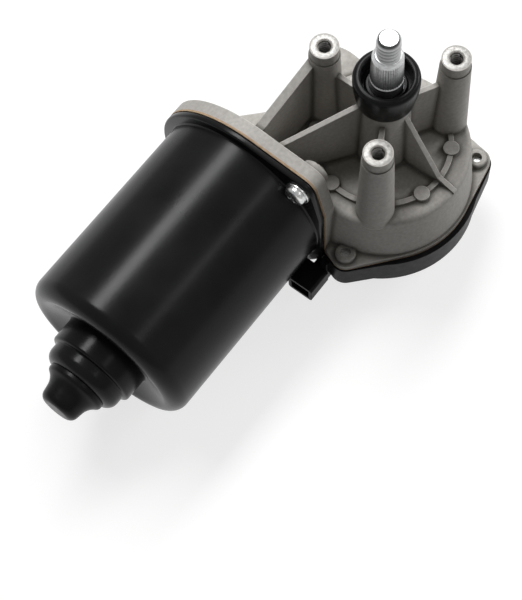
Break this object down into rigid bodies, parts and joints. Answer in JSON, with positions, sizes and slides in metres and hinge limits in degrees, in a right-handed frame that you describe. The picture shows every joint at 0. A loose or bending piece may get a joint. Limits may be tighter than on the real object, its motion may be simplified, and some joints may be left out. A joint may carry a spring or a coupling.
{
  "type": "wiper motor",
  "caption": "Windscreen wiper gear motor: a round magnet motor drives a worm and wheel in a ribbed cast housing, turning a threaded output spindle between tapped bosses.",
  "frame": {"origin": "where the output spindle's axis meets the plane of the mounting bosses' faces", "axes": "+Z out along the output spindle; the motor's own axis lies along X, with the can towards -X and the worm on the +Y side of the wheel"},
  "size_m": [0.1902, 0.1127, 0.1255],
  "materials": {
    "cast_aluminium": "as-cast, slightly rough",
    "machined_steel": "ground steel",
    "zinc_steel": "zinc plated",
    "black_painted_steel": "gloss black paint",
    "spring_steel": "sprung steel",
    "gasket_tan": "pressed fibre sheet",
    "black_rubber": "satin",
    "black_plastic": "satin, moulded",
    "sintered_bronze": "porous, oiled",
    "ferrite": "ground ceramic",
    "lamination_steel": "stacked sheet",
    "enamelled_copper": "varnished wire",
    "bare_copper": "turned copper",
    "phenolic": "moulded",
    "carbon": "pressed graphite",
    "brass_sheet": "stamped brass",
    "natural_acetal": "moulded"
  },
  "bodies": {
    "gearmotor": {"gearbox_housing": "cast_aluminium", "flange_gasket": "gasket_tan", "motor_can": "black_painted_steel", "flange_screws": "zinc_steel", "end_cap": "black_rubber", "rear_bearing": "sintered_bronze", "bearing_retainer": "spring_steel", "magnets": "ferrite", "magnet_clips": "spring_steel", "front_bearing": "sintered_bronze", "worm_end_bearing": "sintered_bronze", "thrust_pad": "natural_acetal", "thrust_screw": "zinc_steel", "lock_nut": "zinc_steel", "brush_plate": "phenolic", "brush_holders": "brass_sheet", "carbon_brushes": "carbon", "brush_springs": "spring_steel", "suppressor_chokes": "enamelled_copper", "upper_shaft_bush": "sintered_bronze", "lower_shaft_bush": "sintered_bronze", "shaft_collar": "black_rubber", "shaft_seal": "black_rubber", "gear_cover": "black_plastic", "cover_gasket": "gasket_tan", "cover_screws": "zinc_steel", "connector_shell": "black_plastic", "connector_terminals": "brass_sheet", "park_contacts": "brass_sheet"},
    "armature": {"armature_shaft": "machined_steel", "armature_core": "lamination_steel", "armature_windings": "enamelled_copper", "commutator_bars": "bare_copper", "commutator_hub": "phenolic"},
    "output": {"output_shaft": "machined_steel", "gear_wheel": "natural_acetal", "park_disc": "brass_sheet", "upper_washer": "zinc_steel", "retaining_ring": "spring_steel", "wheel_washer": "zinc_steel"}
  },
  "joints": [
    {"name": "armature_spin", "type": "hinge", "parent": "gearmotor", "child": "armature", "pos_m": [0, 0.035, -0.056], "axis": [1, 0, 0], "continuous": true},
    {"name": "output_turn", "type": "hinge", "parent": "gearmotor", "child": "output", "pos_m": [0, 0, 0], "axis": [0, 0, 1], "continuous": true}
  ],
  "couplings": [
    {"joint": "output_turn", "follows": "armature_spin", "ratio": 0.020833}
  ]
}
